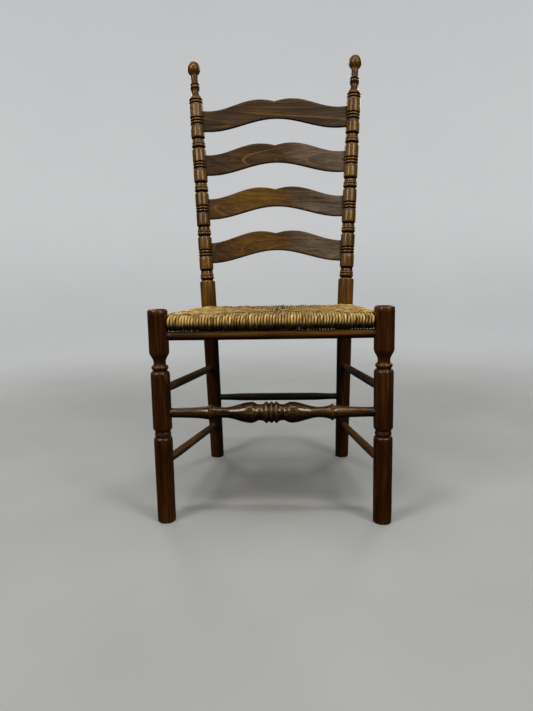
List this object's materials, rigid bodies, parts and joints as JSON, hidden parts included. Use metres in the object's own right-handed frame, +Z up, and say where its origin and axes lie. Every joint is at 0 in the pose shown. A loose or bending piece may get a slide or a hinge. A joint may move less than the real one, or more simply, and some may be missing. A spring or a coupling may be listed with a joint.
{
  "type": "dining chair",
  "caption": "Ladder-back dining chair with turned legs and posts, ball finials, shaped slats, a baluster front stretcher and a woven rush seat.",
  "frame": {"origin": "on the floor, under the middle of the chair's bounding box", "axes": "+Z up, -Y is the front, +X is the sitter's left and the viewer's right"},
  "size_m": [0.523, 0.5615, 1.1683],
  "materials": {
    "stained_wood": "dark brown stain under satin varnish, worn lighter on the edges",
    "stained_slat_wood": "dark brown stain under satin varnish, slightly paler than the posts",
    "rail_wood": "bare wood, hidden inside the rush",
    "rush_cord": "twisted rush cord, golden with dark streaks",
    "packed_rush": "loose packed rush, hidden inside the seat"
  },
  "bodies": {
    "root": {"front_leg_left": "stained_wood", "front_leg_right": "stained_wood", "back_post_left": "stained_wood", "back_post_right": "stained_wood", "front_stretcher": "stained_wood", "back_stretcher": "stained_wood", "side_stretcher_upper_left": "stained_wood", "side_stretcher_upper_right": "stained_wood", "side_stretcher_lower_left": "stained_wood", "side_stretcher_lower_right": "stained_wood", "front_apron_rail": "stained_wood", "slat_1": "stained_slat_wood", "slat_2": "stained_slat_wood", "slat_3": "stained_slat_wood", "slat_4": "stained_slat_wood", "seat_rail_front": "rail_wood", "seat_rail_back": "rail_wood", "seat_rail_left": "rail_wood", "seat_rail_right": "rail_wood", "rush_seat": "rush_cord", "seat_stuffing_front": "packed_rush", "seat_stuffing_right": "packed_rush", "seat_stuffing_back": "packed_rush", "seat_stuffing_left": "packed_rush"}
  },
  "joints": []
}
